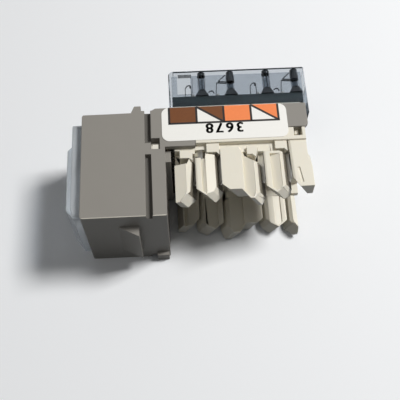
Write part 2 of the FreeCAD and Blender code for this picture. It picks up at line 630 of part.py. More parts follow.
def dust_cap():
    """Clear cap: plate, raised middle and a hollow skirt that sits in the port."""
    y0 = CAP_Y[0]
    y1 = BLOCK_H - CAP_Y[1]
    back = -FIT
    half = CAP_W / 2.0
    face = prism([(back, y0), (back - CAP_THIN, y0), (back - CAP_T, y0 + RAISED_SLOPE[0]),
                  (back - CAP_T, y1), (back, y1)], MID - half, MID + half)
    edges = [e for e in face.Edges
             if abs(e.Vertexes[0].X - e.Vertexes[-1].X) > CAP_THIN / 2
             and abs(e.Vertexes[0].Y - e.Vertexes[-1].Y) < FIT]
    face = face.makeFillet(CAP_R * 0.8, edges)
    top = back - CAP_T - RAISED_T
    low, high = RAISED_IN[0], BLOCK_H - RAISED_IN[1]
    half = RAISED_W / 2.0
    raised = prism([(back - BITE, low - RAISED_SLOPE[0]), (back - CAP_THIN, low - RAISED_SLOPE[0]),
                    (top, low), (top, high), (back - CAP_T, high + RAISED_SLOPE[1]),
                    (back - BITE, high + RAISED_SLOPE[1])], MID - half, MID + half)
    inner_y0 = PORT_Y0 + SLIP
    inner_y1 = PORT_Y1 - SLIP
    width = PORT_W - 2 * SLIP
    skirt = mid_box(back - BITE, SKIRT_L, inner_y0, inner_y1, width)
    room = mid_box(back - 2 * BITE, SKIRT_L + OVER, inner_y0 + SKIRT_T, inner_y1 - SKIRT_T,
                   width - 2 * SKIRT_T)
    return join([face, raised, skirt.cut(room)])


def build():
    """Write every sub-part, moved to the shared origin."""
    shapes = {
        "jack_frame": jack_frame(),
        "terminal_housing": terminal_housing(),
        "contact_carrier": contact_carrier(),
        "wiring_board": wiring_board(),
        "board_cover": board_cover(),
        "wiring_label": wiring_label(),
        "dust_cap": dust_cap(),
    }
    for i in range(8):
        shapes[f"contact_{i + 1}"] = contact(i)
    for i, x in enumerate(slots()):
        blade = idc_blade(x)
        shapes[f"idc_blade_{i + 1}"] = blade
        shapes[f"idc_blade_{i + 5}"] = mirrored(blade)
    for name, shape in shapes.items():
        placed = shape.copy()
        placed.translate(Vector(-BLOCK_D / 2.0, -BLOCK_H / 2.0, 0))
        print(name, "solids", len(placed.Solids), "valid", placed.isValid(),
              "vol %.1f" % placed.Volume, placed.BoundBox)
        placed.exportStep(f"parts/{name}.step")


build()
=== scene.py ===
"""Looks of a right-angle keystone jack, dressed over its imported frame.

The jack lies on its side: port toward -X, wire posts toward -Y, board cover toward +Y.
Places and sizes are in millimetres in the frame's axes, and the studio's are in metres.
"""
import logging
import math
from collections.abc import Callable
from dataclasses import dataclass
from enum import Enum
from itertools import pairwise

import bmesh
import bpy
from mathutils import Matrix, Vector


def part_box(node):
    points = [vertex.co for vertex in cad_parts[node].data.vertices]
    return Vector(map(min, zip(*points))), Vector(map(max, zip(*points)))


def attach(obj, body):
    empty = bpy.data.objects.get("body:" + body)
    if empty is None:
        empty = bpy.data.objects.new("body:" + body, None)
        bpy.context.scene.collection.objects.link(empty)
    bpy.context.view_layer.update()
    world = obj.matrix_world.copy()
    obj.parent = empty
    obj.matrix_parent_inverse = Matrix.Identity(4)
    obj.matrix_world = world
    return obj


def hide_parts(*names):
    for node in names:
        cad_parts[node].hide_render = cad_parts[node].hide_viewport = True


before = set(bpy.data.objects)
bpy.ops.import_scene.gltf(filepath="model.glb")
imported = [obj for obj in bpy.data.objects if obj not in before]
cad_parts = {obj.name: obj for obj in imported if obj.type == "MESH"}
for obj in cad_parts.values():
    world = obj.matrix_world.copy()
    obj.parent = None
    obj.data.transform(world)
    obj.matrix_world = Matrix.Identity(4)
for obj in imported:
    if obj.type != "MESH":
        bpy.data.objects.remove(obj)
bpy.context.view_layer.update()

LOG = logging.getLogger("keystone_jack")

MM = 0.001
# Vertices nearer than this, in metres, are one vertex.
MERGE = 1e-6
# Flat faces that meet at less than this many degrees are joined.
FLAT_ANGLE = 0.5
# Only edges sharper than this many degrees are rounded.
ROUND_ANGLE = 25.0
# Other edges sharper than this stay crisp, and blunter ones are shaded smooth.
CREASE_ANGLE = 30.0
# Edges of this length are rounded whatever they end in.
LONG_EDGE = 6.0
# Faces and vertices this close to a level lie on it.
ON_LEVEL = 1e-3

Span = tuple[float, float]
Spot = tuple[float, float]
Point = tuple[float, float, float]


class Body(Enum):
    """Rigid bodies of the frame."""

    JACK = "jack"
    CAP = "cap"


class Axis(Enum):
    """Main directions, as rotations that turn +Z onto them."""

    ALONG_Y = (-math.pi / 2, 0.0, 0.0)
    ALONG_Z = (0.0, 0.0, 0.0)


class Element(Enum):
    """Kinds of mesh element that can be selected."""

    VERTS = "VERT"
    EDGES = "EDGE"


class Boss(Enum):
    """The two kinds of boss in the cover, which take turns along it."""

    SHORT_PLUG = 0
    LONG_PLUG = 1


# ---- small helpers -------------------------------------------------------------------------
def linear(code: str) -> tuple[float, float, float, float]:
    """Turn an sRGB hex colour into linear light, by the standard's own curve.

    Args:
        code: Colour such as "#8c8a84".

    Returns:
        Red, green, blue and alpha.
    """
    values = []
    for i in (1, 3, 5):
        v = int(code[i:i + 2], 16) / 255.0
        values.append(v / 12.92 if v <= 0.04045 else ((v + 0.055) / 1.055) ** 2.4)
    return (values[0], values[1], values[2], 1.0)


def add_node(tree: bpy.types.NodeTree, kind: str, settings: dict | None = None,
             links: dict | None = None) -> bpy.types.Node:
    """Add one shader node with its settings and incoming links.

    Args:
        tree: Node tree to add to.
        kind: Node type name.
        settings: Attribute or input values by name; an input's name starts with "in:", and
            is a number where several inputs share a name.
        links: Output sockets by the input name or number they feed.

    Returns:
        The new node.
    """
    node = tree.nodes.new(kind)
    for key, value in (settings or {}).items():
        if key.startswith("in:"):
            name = key[3:]
            socket = node.inputs[int(name)] if name.isdigit() else node.inputs[name]
            socket.default_value = value
        else:
            setattr(node, key, value)
    for key, socket in (links or {}).items():
        tree.links.new(socket, node.inputs[key])
    return node


def deselect() -> None:
    """Leave nothing selected or active."""
    if bpy.context.object and bpy.context.object.mode != "OBJECT":
        bpy.ops.object.mode_set(mode="OBJECT")
    bpy.ops.object.select_all(action="DESELECT")
    bpy.context.view_layer.objects.active = None


def pick(obj: bpy.types.Object) -> None:
    """Select one object and make it active.

    Args:
        obj: Object to work on next.
    """
    deselect()
    obj.hide_viewport = False
    obj.select_set(True)
    bpy.context.view_layer.objects.active = obj


def settle(obj: bpy.types.Object) -> None:
    """Put the object's place, turn and size into its mesh."""
    pick(obj)
    bpy.ops.object.transform_apply(location=True, rotation=True, scale=True)


def apply_all(obj: bpy.types.Object) -> None:
    """Apply every modifier in order.

    Args:
        obj: Object whose modifiers become part of its mesh.
    """
    pick(obj)
    for name in [m.name for m in obj.modifiers]:
        bpy.ops.object.modifier_apply(modifier=name)


def choose(obj: bpy.types.Object, kind: Element, test: Callable[[object], bool]) -> None:
    """Enter edit mode and select the elements that pass a test.

    Args:
        obj: Mesh object.
        kind: What to select.
        test: Tells of a mesh element whether it is wanted.
    """
    pick(obj)
    bpy.ops.object.mode_set(mode="EDIT")
    bpy.ops.mesh.select_mode(type=kind.value)
    bpy.ops.mesh.select_all(action="DESELECT")
    work = bmesh.from_edit_mesh(obj.data)
    for item in work.verts if kind is Element.VERTS else work.edges:
        if test(item):
            item.select_set(True)
    bmesh.update_edit_mesh(obj.data)


def choose_all(obj: bpy.types.Object) -> None:
    """Enter edit mode with the whole mesh selected.

    Args:
        obj: Mesh object.
    """
    pick(obj)
    bpy.ops.object.mode_set(mode="EDIT")
    bpy.ops.mesh.select_all(action="SELECT")


def leave_edit() -> None:
    """Go back to object mode."""
    bpy.ops.mesh.select_mode(type=Element.VERTS.value)
    bpy.ops.object.mode_set(mode="OBJECT")


def soften(obj: bpy.types.Object, radius: float, segments: int = 2, shortest: float = 0.3,
           free_ends: bool = False, flat: bool = False) -> None:
    """Round the object's longer outer edges as a mould or a press does.

    Args:
        obj: Mesh object.
        radius: Edge radius.
        segments: Faces across the round.
        shortest: Shorter edges stay sharp.
        free_ends: Whether edges that end in an inner corner stay sharp.
        flat: Whether every face keeps its own plane in the shading.
    """
    work = bmesh.new()
    work.from_mesh(obj.data)
    weight = work.edges.layers.float.new("bevel_weight_edge")
    bends = {e: math.degrees(e.calc_face_angle()) for e in work.edges if len(e.link_faces) == 2}
    hollow = {v for e, bend in bends.items() if bend > ROUND_ANGLE and not e.is_convex
              for v in e.verts}
    for edge, bend in bends.items():
        kept = bend > ROUND_ANGLE and edge.is_convex and edge.calc_length() > shortest * MM
        if free_ends and edge.calc_length() < LONG_EDGE * MM:
            kept = kept and not any(v in hollow for v in edge.verts)
        edge[weight] = float(kept)
        edge.smooth = kept or bend < CREASE_ANGLE
    for face in work.faces:
        face.smooth = not flat
    work.to_mesh(obj.data)
    work.free()
    mod = obj.modifiers.new("edge_round", "BEVEL")
    mod.width = radius * MM
    mod.segments = segments
    mod.limit_method = "WEIGHT"
    mod.use_clamp_overlap = False
    if not flat:
        mod = obj.modifiers.new("even_normals", "WEIGHTED_NORMAL")
        mod.keep_sharp = True
    apply_all(obj)


def carve(obj: bpy.types.Object, cutters: list[bpy.types.Object]) -> None:
    """Cut solid pieces out of a mesh and remove them.

    Args:
        obj: Closed mesh object.
        cutters: Closed pieces, cut out one after the other.
    """
    for cutter in cutters:
        mod = obj.modifiers.new("cut", "BOOLEAN")
        mod.operation = "DIFFERENCE"
        mod.solver = "EXACT"
        mod.object = cutter
        apply_all(obj)
        bpy.data.objects.remove(cutter)


def box_piece(name: str, low: Point, high: Point) -> bpy.types.Object:
    """Box between two corners, from a cube primitive.

    Args:
        name: Object name.
        low: Lowest corner.
        high: Highest corner.

    Returns:
        The new object, its place in its mesh.
    """
    deselect()
    bpy.ops.mesh.primitive_cube_add(size=1.0, location=[(a + b) / 2 * MM
                                                        for a, b in zip(low, high)])
    obj = bpy.context.object
    obj.name = name
    obj.scale = [(b - a) * MM for a, b in zip(low, high)]
    settle(obj)
    return obj


def rod_piece(name: str, centre: Point, radius: float, length: float, axis: Axis,
              sides: int) -> bpy.types.Object:
    """Round rod about a point, from a cylinder primitive.

    Args:
        name: Object name.
        centre: Middle of the rod.
        radius: Radius.
        length: Length along the axis.
        axis: Direction of the rod.
        sides: Faces round it.

    Returns:
        The new object, its place in its mesh.
    """
    deselect()
    bpy.ops.mesh.primitive_cylinder_add(vertices=sides, radius=radius * MM, depth=length * MM,
                                        location=[c * MM for c in centre], rotation=axis.value)
    obj = bpy.context.object
    obj.name = name
    settle(obj)
    return obj


def strut(name: str, start: Spot, end: Spot, width: float, low: float,
          high: float) -> bpy.types.Object:
    """Straight bar between two spots seen from above.

    Args:
        name: Object name.
        start: One end, as X and Y.
        end: Other end, as X and Y.
        width: Width of the bar.
        low: Its lowest Z.
        high: Its highest Z.

    Returns:
        The new object, its place in its mesh.
    """
    length = math.dist(start, end)
    bar = box_piece(name, (-length / 2, -width / 2, low), (length / 2, width / 2, high))
    bar.rotation_euler = (0.0, 0.0, math.atan2(end[1] - start[1], end[0] - start[0]))
    bar.location = ((start[0] + end[0]) / 2 * MM, (start[1] + end[1]) / 2 * MM, 0.0)
    settle(bar)
    return bar


def moved_copy(obj: bpy.types.Object, name: str, shift: Point) -> bpy.types.Object:
    """Copy a piece with its own mesh to another place.

    Args:
        obj: Piece to copy.
        name: Name of the copy.
        shift: Way from the piece to the copy.

    Returns:
        The copy, its place in its mesh.
    """
    pick(obj)
    bpy.ops.object.duplicate()
    twin = bpy.context.object
    twin.name = name
    twin.location = [v * MM for v in shift]
    settle(twin)
    return twin


def mirrored_copy(obj: bpy.types.Object, name: str, middle: float) -> bpy.types.Object:
    """Copy a piece to the other side of a level plane.

    Args:
        obj: Piece to copy.
        name: Name of the copy.
        middle: Z of the plane.

    Returns:
        The copy, its faces pointing outwards.
    """
    pick(obj)
    bpy.ops.object.duplicate()
    twin = bpy.context.object
    twin.name = name
    twin.scale = (1.0, 1.0, -1.0)
    twin.location = (0.0, 0.0, 2 * middle * MM)
    settle(twin)
    choose_all(twin)
    bpy.ops.mesh.normals_make_consistent(inside=False)
    leave_edit()
    return twin


def merge(name: str, parts: list[bpy.types.Object]) -> bpy.types.Object:
    """Join several mesh objects into one named object.

    Args:
        name: Name of the joined object.
        parts: One or more mesh objects.

    Returns:
        The joined object.
    """
    deselect()
    for part in parts:
        part.select_set(True)
    bpy.context.view_layer.objects.active = parts[0]
    if len(parts) > 1:
        bpy.ops.object.join()
    obj = bpy.context.object
    obj.name = name
    return obj


# ---- finishes ------------------------------------------------------------------------------
@dataclass(frozen=True)
class Finish:
    """Look of one real material."""

    name: str
    colour: str

    def material(self) -> bpy.types.Material:
        """Build the material once and reuse it.

        Returns:
            The material that bears this finish's name.
        """
        mat = bpy.data.materials.get(self.name)
        if mat is None:
            mat = bpy.data.materials.new(self.name)
            mat.use_nodes = True
            tree = mat.node_tree
            place = add_node(tree, "ShaderNodeTexCoord")
            self.wire(tree, tree.nodes["Principled BSDF"], place.outputs["Object"])
        return mat

    def wire(self, tree: bpy.types.NodeTree, shader: bpy.types.Node,
             place: bpy.types.NodeSocket) -> None:
        """Set the shader's values and link its patterns, as each kind of finish does."""
        raise NotImplementedError

    def mottled(self, tree: bpy.types.NodeTree, place: bpy.types.NodeSocket, size: float,
                spread: float) -> bpy.types.NodeSocket:
        """Let the colour drift a little in soft patches.

        Args:
            tree: Node tree to add to.
            place: Coordinates.
            size: Size of the patches.
            spread: Share by which the colour goes darker and lighter.

        Returns:
            Socket that gives the colour.
        """
        base = linear(self.colour)
        low = tuple(c * (1.0 - spread) for c in base[:3]) + (1.0,)
        high = tuple(min(1.0, c * (1.0 + spread)) for c in base[:3]) + (1.0,)
        patch = add_node(tree, "ShaderNodeTexNoise",
                         {"in:Scale": 1.0 / (size * MM), "in:Detail": 2.0}, {"Vector": place})
        tint = add_node(tree, "ShaderNodeMix", {"data_type": "RGBA", "in:6": low, "in:7": high},
                        {"Factor": patch.outputs["Fac"]})
        return tint.outputs[2]

    def uneven(self, tree: bpy.types.NodeTree, place: bpy.types.NodeSocket, size: float,
               depth: float, detail: float) -> bpy.types.NodeSocket:
        """Make the surface uneven.

        Args:
            tree: Node tree to add to.
            place: Coordinates.
            size: Size of the bumps.
            depth: Their height.
            detail: Finer layers of the pattern.

        Returns:
            Socket that gives the bumped normal.
        """
        noise = add_node(tree, "ShaderNodeTexNoise",
                         {"in:Scale": 1.0 / (size * MM), "in:Detail": detail}, {"Vector": place})
        bump = add_node(tree, "ShaderNodeBump",
                        {"in:Strength": 1.0, "in:Distance": depth * MM},
                        {"Height": noise.outputs["Fac"]})
        return bump.outputs["Normal"]


@dataclass(frozen=True)
class Plastic(Finish):
    """Moulded opaque plastic with a faint orange-peel skin and soft cloudy patches."""

    roughness: float = 0.45
    ior: float = 1.5
    # A mould's spark-eroded grain is about 0.03 mm; it is drawn coarser, so that it shows.
    grain: float = 0.12
    grain_depth: float = 0.004
    cloud: float = 4.0
    cloud_spread: float = 0.03
    glow_through: float = 0.0
    glow_reach: float = 0.5
    glow_tint: Point = (1.0, 0.8, 0.6)

    def wire(self, tree: bpy.types.NodeTree, shader: bpy.types.Node,
             place: bpy.types.NodeSocket) -> None:
        """Set the shader's values and link its patterns.

        Args:
            tree: The material's node tree.
            shader: Its main shader.
            place: Coordinates.
        """
        shader.inputs["Roughness"].default_value = self.roughness
        shader.inputs["IOR"].default_value = self.ior
        colour = self.mottled(tree, place, self.cloud, self.cloud_spread)
        tree.links.new(colour, shader.inputs["Base Color"])
        normal = self.uneven(tree, place, self.grain, self.grain_depth, detail=3.0)
        tree.links.new(normal, shader.inputs["Normal"])
        if self.glow_through:
            shader.inputs["Subsurface Weight"].default_value = self.glow_through
            shader.inputs["Subsurface Radius"].default_value = self.glow_tint
            shader.inputs["Subsurface Scale"].default_value = self.glow_reach * MM


@dataclass(frozen=True)
class Clear(Finish):
    """Clear moulded plastic with a faint flow waviness, which lets its shadow through."""

    shade: str
    roughness: float = 0.04
    ior: float = 1.58
    coat: float = 0.0
    milk: float = 0.0
    # The melt's flow leaves waves some millimetres long and a few thousandths high.
    wave: float = 2.5
    wave_depth: float = 0.006

    def wire(self, tree: bpy.types.NodeTree, shader: bpy.types.Node,
             place: bpy.types.NodeSocket) -> None:
        """Set the shader's values, link its waviness and tint its shadow.

        Args:
            tree: The material's node tree.
            shader: Its main shader.
            place: Coordinates.
        """
        shader.inputs["Base Color"].default_value = linear(self.colour)
        shader.inputs["Roughness"].default_value = self.roughness
        shader.inputs["IOR"].default_value = self.ior
        shader.inputs["Transmission Weight"].default_value = 1.0 - self.milk
        shader.inputs["Coat Weight"].default_value = self.coat
        normal = self.uneven(tree, place, self.wave, self.wave_depth, detail=1.0)
        tree.links.new(normal, shader.inputs["Normal"])
        path = add_node(tree, "ShaderNodeLightPath")
        veil = add_node(tree, "ShaderNodeBsdfTransparent", {"in:Color": linear(self.shade)})
        mix = add_node(tree, "ShaderNodeMixShader", None,
                       {0: path.outputs["Is Shadow Ray"], 1: shader.outputs[0],
                        2: veil.outputs[0]})
        tree.links.new(mix.outputs[0], tree.nodes["Material Output"].inputs["Surface"])


@dataclass(frozen=True)
class Metal(Finish):
    """Plated metal with faint rolling marks, which show as a change of gloss."""

    roughness: float = 0.25
    # Rolling marks are a few hundredths of a millimetre apart; these are coarser, to show.
    marks: float = 0.08
    smoother: float = 0.05
    rougher: float = 0.08

    def wire(self, tree: bpy.types.NodeTree, shader: bpy.types.Node,
             place: bpy.types.NodeSocket) -> None:
        """Set the shader's values and link its marks.

        Args:
            tree: The material's node tree.
            shader: Its main shader.
            place: Coordinates.
        """
        shader.inputs["Base Color"].default_value = linear(self.colour)
        shader.inputs["Metallic"].default_value = 1.0
        noise = add_node(tree, "ShaderNodeTexNoise", {"in:Scale": 1.0 / (self.marks * MM)},
                         {"Vector": place})
        spread = add_node(tree, "ShaderNodeMapRange",
                          {"in:To Min": self.roughness - self.smoother,
                           "in:To Max": self.roughness + self.rougher},
                          {"Value": noise.outputs["Fac"]})
        tree.links.new(spread.outputs["Result"], shader.inputs["Roughness"])


@dataclass(frozen=True)
class Ink(Finish):
    """Printing ink or coated paper, satin, with the faint unevenness of print."""

    roughness: float = 0.4
    # Paper fibres take ink unevenly over a few tenths of a millimetre.
    mottle: float = 0.35
    mottle_spread: float = 0.05

    def wire(self, tree: bpy.types.NodeTree, shader: bpy.types.Node,
             place: bpy.types.NodeSocket) -> None:
        """Set the shader's values and link its mottle.

        Args:
            tree: The material's node tree.
            shader: Its main shader.
            place: Coordinates.
        """
        shader.inputs["Roughness"].default_value = self.roughness
        colour = self.mottled(tree, place, self.mottle, self.mottle_spread)
        tree.links.new(colour, shader.inputs["Base Color"])


# Grey moulded ABS: warm mid grey with a soft satin skin.
GREY_ABS = Plastic("grey_moulded_abs", "#8e8a83", roughness=0.5, ior=1.35)
# The same plastic with a painted highlight, for the catch side's edge rounds: lighter and
# glossier.
GREY_EDGE_HIGHLIGHT = Plastic("grey_abs_painted_edge_highlight", "#e9e3d4", roughness=0.28)
# And with painted shade, for the floors of the grooves: darker and dull.
GREY_GROOVE_SHADE = Plastic("grey_abs_painted_groove_shade", "#625f5a", roughness=0.7, ior=1.35)
# Ivory moulded polycarbonate: creamy, a little light goes through thin walls.
IVORY_PC = Plastic("ivory_moulded_polycarbonate", "#e4dece", roughness=0.42, glow_through=0.1)
# The same polycarbonate with painted shade, for the slots' side walls: dark and dull.
IVORY_PAINTED_SHADE = Plastic("ivory_polycarbonate_painted_slot_shade", "#746d5f", roughness=0.7)
# Natural white PBT of the contact carrier: whiter and chalkier than the housing.
WHITE_PBT = Plastic("white_moulded_pbt", "#e2ddd0", roughness=0.5)
# Dark green solder mask over glass-fibre board: nearly black, with a broad sheen that the
# glass threads, 0.3 mm wide, make a little uneven.
SOLDER_MASK = Plastic("dark_green_solder_mask", "#0d1b1e", roughness=0.4, grain=0.3,
                      grain_depth=0.001)
# Smoked polycarbonate: clear, faintly blue-grey. Its thin walls hardly bend the view, so the
# gloss comes from a coat and the body's own IOR is low.
SMOKED_PC = Clear("smoked_moulded_polycarbonate", "#cfd4d9", "#e6e9ec", ior=1.05, coat=0.2)
# Painted shade in the bosses' bores: rods of a darker clear tint, darker still in the long-plugged
# bosses.
SMOKED_BORE_SHADE = Clear("smoked_polycarbonate_painted_bore_shade", "#b0b5ba", "#d4d7da", ior=1.05)
SMOKED_DEEP_BORE_SHADE = Clear("smoked_polycarbonate_painted_deep_bore_shade", "#868c92", "#c0c4c8", ior=1.05)
# Painted shade: the same plastic made nearly black, for the dark look of ribs and bores that stand
# on end.
DARK_PC_PAINTED_SHADE = Plastic("smoked_polycarbonate_painted_dark", "#14181c", roughness=0.3)
# Natural clear polypropylene of the cap: a little milky, with bright edges.
CLEAR_PP = Clear("natural_moulded_polypropylene", "#eef2f5", "#eef1f4", roughness=0.2, ior=1.4,
                 milk=0.38)
# Coated paper of the label: white and nearly even.
LABEL_PAPER = Ink("white_coated_label_paper", "#f4f2ec", roughness=0.35, mottle_spread=0.02)
# Printing inks on it: satin, and the dark ones a little patchy.
INK_BLACK = Ink("black_printing_ink", "#211d1b", mottle_spread=0.1)
INK_BROWN = Ink("brown_printing_ink", "#71411c", mottle_spread=0.14)
INK_ORANGE = Ink("orange_printing_ink", "#f4894f")
# Gold flash over phosphor bronze spring wire: warm yellow with small sharp glints.
GOLD_WIRE = Metal("gold_plated_spring_wire", "#e0b768", roughness=0.22)
# Dull tin plate over bronze blades: pale grey with soft reflections.
TIN_BLADE = Metal("tin_plated_bronze_blade", "#cfcdc6", roughness=0.35)
# Solder, set smooth: bright and silvery.
SOLDER = Metal("bright_solder", "#d5d6d6", roughness=0.28)


def dress(obj: bpy.types.Object, finish: Finish) -> None:
    """Give the whole object one finish."""
    obj.data.materials.clear()
    obj.data.materials.append(finish.material())


def add_finish(obj: bpy.types.Object, finish: Finish) -> int:
    """Give the object one more finish, for some of its faces.

    Args:
        obj: Mesh object that has a finish already.
        finish: The further finish.

    Returns:
        The number by which faces ask for it.
    """
    obj.data.materials.append(finish.material())
    return len(obj.data.materials) - 1


def cad_copy(node: str, name: str) -> bpy.types.Object:
    """Copy a frame node as a merged mesh that can be worked on.

    Args:
        node: Frame node.
        name: Name of the copy.

    Returns:
        The copy, with flat faces joined, not yet riding on a body.
    """
    obj = bpy.data.objects.new(name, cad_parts[node].data.copy())
    bpy.context.scene.collection.objects.link(obj)
    choose_all(obj)
    bpy.ops.mesh.remove_doubles(threshold=MERGE)
    bpy.ops.mesh.dissolve_limited(angle_limit=math.radians(FLAT_ANGLE))
    leave_edit()
    return obj


def fit_out(obj: bpy.types.Object, body: Body, slot: str, *nodes: str) -> None:
    """Let the piece ride on its body and stand for the given nodes.

    Args:
        obj: Finished piece.
        body: Body that it moves with.
        slot: Material slot that its finish belongs to; not used.
        nodes: Frame nodes that it replaces.
    """
    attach(obj, body.value)
    if nodes:
        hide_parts(*nodes)
    LOG.info("made %s, on body %s", obj.name, body.value)


# ---- sub-assemblies ------------------------------------------------------------------------
@dataclass
class FrameMoulding:
    """Grey port block with its cheeks."""

    edge: float = 0.1
    shortest_edge: float = 0.45
    groove_x: Span = (2.9, 4.0)
    groove_deep: float = 0.5
    groove_more: float = 0.3
    highlight_y: float = -8.0
    highlight_zone: float = 0.2
    round_slant: Span = (0.1, 0.98)
    round_turn: float = 0.1

    def build(self) -> None:
        """Copy, round and dress the frame moulding."""
        obj = cad_copy("jack_frame", "grey_frame")
        dress(obj, GREY_ABS)
        # Painted highlight for the catch side's edge rounds.
        highlight = add_finish(obj, GREY_EDGE_HIGHLIGHT)
        # Painted shade for the groove floors.
        groove_shade = add_finish(obj, GREY_GROOVE_SHADE)
        self.deepen_grooves(obj, groove_shade)
        soften(obj, self.edge, shortest=self.shortest_edge, free_ends=True, flat=True)
        # The catch side's long rounds take the painted highlight.
        self.paint_edge_highlight(obj, highlight)
        fit_out(obj, Body.JACK, "grey_frame", "jack_frame")

    def deepen_grooves(self, obj: bpy.types.Object, finish: int) -> None:
        """Let the floors of the side grooves down, so that they lie in their own shade, and paint
        shade on them.

        Args:
            obj: The frame moulding.
            finish: Number of the painted shade finish that the floors take.
        """
        low, high = (corner[2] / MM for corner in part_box("jack_frame"))
        x0, x1 = self.groove_x
        for floor, way in ((high - self.groove_deep, -1.0), (low + self.groove_deep, 1.0)):
            choose(obj, Element.VERTS, lambda v: abs(v.co.z / MM - floor) < ON_LEVEL
                   and x0 < v.co.x / MM < x1)
            bpy.ops.transform.translate(value=(0.0, 0.0, way * self.groove_more * MM))
            leave_edit()
            level = floor + way * self.groove_more
            # The lowered floors take the painted shade.
            for face in obj.data.polygons:
                if abs(face.center.z / MM - level) < ON_LEVEL and x0 < face.center.x / MM < x1:
                    face.material_index = finish

    def paint_edge_highlight(self, obj: bpy.types.Object, finish: int) -> None:
        """Paint a highlight on the long rounds of the block's catch side.

        Args:
            obj: The frame moulding, its edges rounded.
            finish: Number of the painted highlight finish that the rounds take.
        """
        low, high = (corner[2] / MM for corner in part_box("jack_frame"))
        least, most = self.round_slant
        for face in obj.data.polygons:
            y, z = face.center.y / MM, face.center.z / MM
            slanted = (least < abs(face.normal.z) < most
                       and abs(face.normal.x) < self.round_turn)
            outer = z > high - self.highlight_zone or z < low + self.highlight_zone
            if slanted and outer and y < self.highlight_y:
                face.material_index = finish


@dataclass(frozen=True)
class Pocket:
    """Pocket cut down from the housing's upper side."""

    x: Span
    y: Span
    floor: float


@dataclass(frozen=True)
class Nudge:
    """Shift along X of the post edges within a span of the upper row."""

    x: Span
    below_y: float
    shift: float


@dataclass
class HousingMoulding:
    """Ivory housing with the pointed posts, and the contact carrier."""

    edge: float = 0.05
    shortest_edge: float = 0.4
    pockets: tuple[Pocket, ...] = (
        Pocket((6.5, 9.12), (-0.25, 0.58), 12.2), Pocket((6.5, 7.82), (0.5, 2.05), 12.2),
        Pocket((9.95, 11.4), (0.55, 2.1), 12.7))
    pocket_top: float = 15.0
    ledge: tuple[Point, Point] = ((5.0, -0.4, 2.705), (24.5, 0.85, 3.5))
    groove: tuple[Spot, Spot] = ((24.12, -1.55), (24.42, -3.9))
    groove_wide: float = 0.36
    groove_z: Span = (14.04, 14.6)
    row_face: float = 14.2
    row_low: float = 11.25
    row_lean: float = 1.25 / 2.4
    nudges: tuple[Nudge, ...] = (
        Nudge((5.0, 9.35), -0.2, -0.4), Nudge((11.55, 12.96), 1.3, -0.42),
        Nudge((18.0, 18.9), 1.3, -0.42), Nudge((21.7, 22.5), 1.3, -0.42),
        Nudge((22.9, 23.5), 1.3, 0.15))
    slots: tuple[Span, ...] = ((8.6, 10.0), (12.2, 13.7), (18.1, 19.6), (21.7, 23.5))
    slot_top: float = 1.3
    wall_turn: float = 0.8
    wall_inset: float = 0.06

    def build(self) -> None:
        """Copy, cut, round and dress both insulating mouldings."""
        obj = cad_copy("terminal_housing", "ivory_housing")
        carve(obj, self.cutters())
        self.widen_slots(obj)
        soften(obj, self.edge, shortest=self.shortest_edge, flat=True)
        dress(obj, IVORY_PC)
        # Painted shade on the upper slots' side walls.
        self.paint_slot_shade(obj, add_finish(obj, IVORY_PAINTED_SHADE))
        fit_out(obj, Body.JACK, "white_housing", "terminal_housing")
        dress(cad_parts["contact_carrier"], WHITE_PBT)

    def cutters(self) -> list[bpy.types.Object]:
        """Pieces for the gaps by the lugs, the last post's groove and the lower root's ledge.

        Returns:
            Closed pieces to cut out.
        """
        out = [box_piece("cutter", (p.x[0], p.y[0], p.floor), (p.x[1], p.y[1], self.pocket_top))
               for p in self.pockets]
        out.append(strut("cutter", *self.groove, self.groove_wide, *self.groove_z))
        out.append(box_piece("cutter", *self.ledge))
        return out

    def row_x(self, point: Vector) -> float:
        """X of a point, carried along the posts' lean to the row's outer face."""
        return point.x / MM - self.row_lean * (self.row_face - point.z / MM)

    def widen_slots(self, obj: bpy.types.Object) -> None:
        """Move the upper posts' edges a little along X.

        Args:
            obj: The housing, before its edges are rounded.
        """
        for nudge in self.nudges:
            x0, x1 = nudge.x
            choose(obj, Element.VERTS, lambda v: self.row_low < v.co.z / MM
                   and v.co.y / MM < nudge.below_y and x0 < self.row_x(v.co) < x1)
            bpy.ops.transform.translate(value=(nudge.shift * MM, 0.0, 0.0))
            leave_edit()

    def paint_slot_shade(self, obj: bpy.types.Object, finish: int) -> None:
        """Paint shade on the side walls of the upper slots.

        Args:
            obj: The housing.
            finish: Number of the painted shade finish that the walls take.
        """
        # These walls take the painted shade.
        for face in obj.data.polygons:
            y, z = face.center.y / MM, face.center.z / MM
            upright = abs(face.normal.x) > self.wall_turn
            inside = self.row_low < z < self.row_face - self.wall_inset and y < self.slot_top
            if (upright and inside
                    and any(x0 < self.row_x(face.center) < x1 for x0, x1 in self.slots)):
                face.material_index = finish


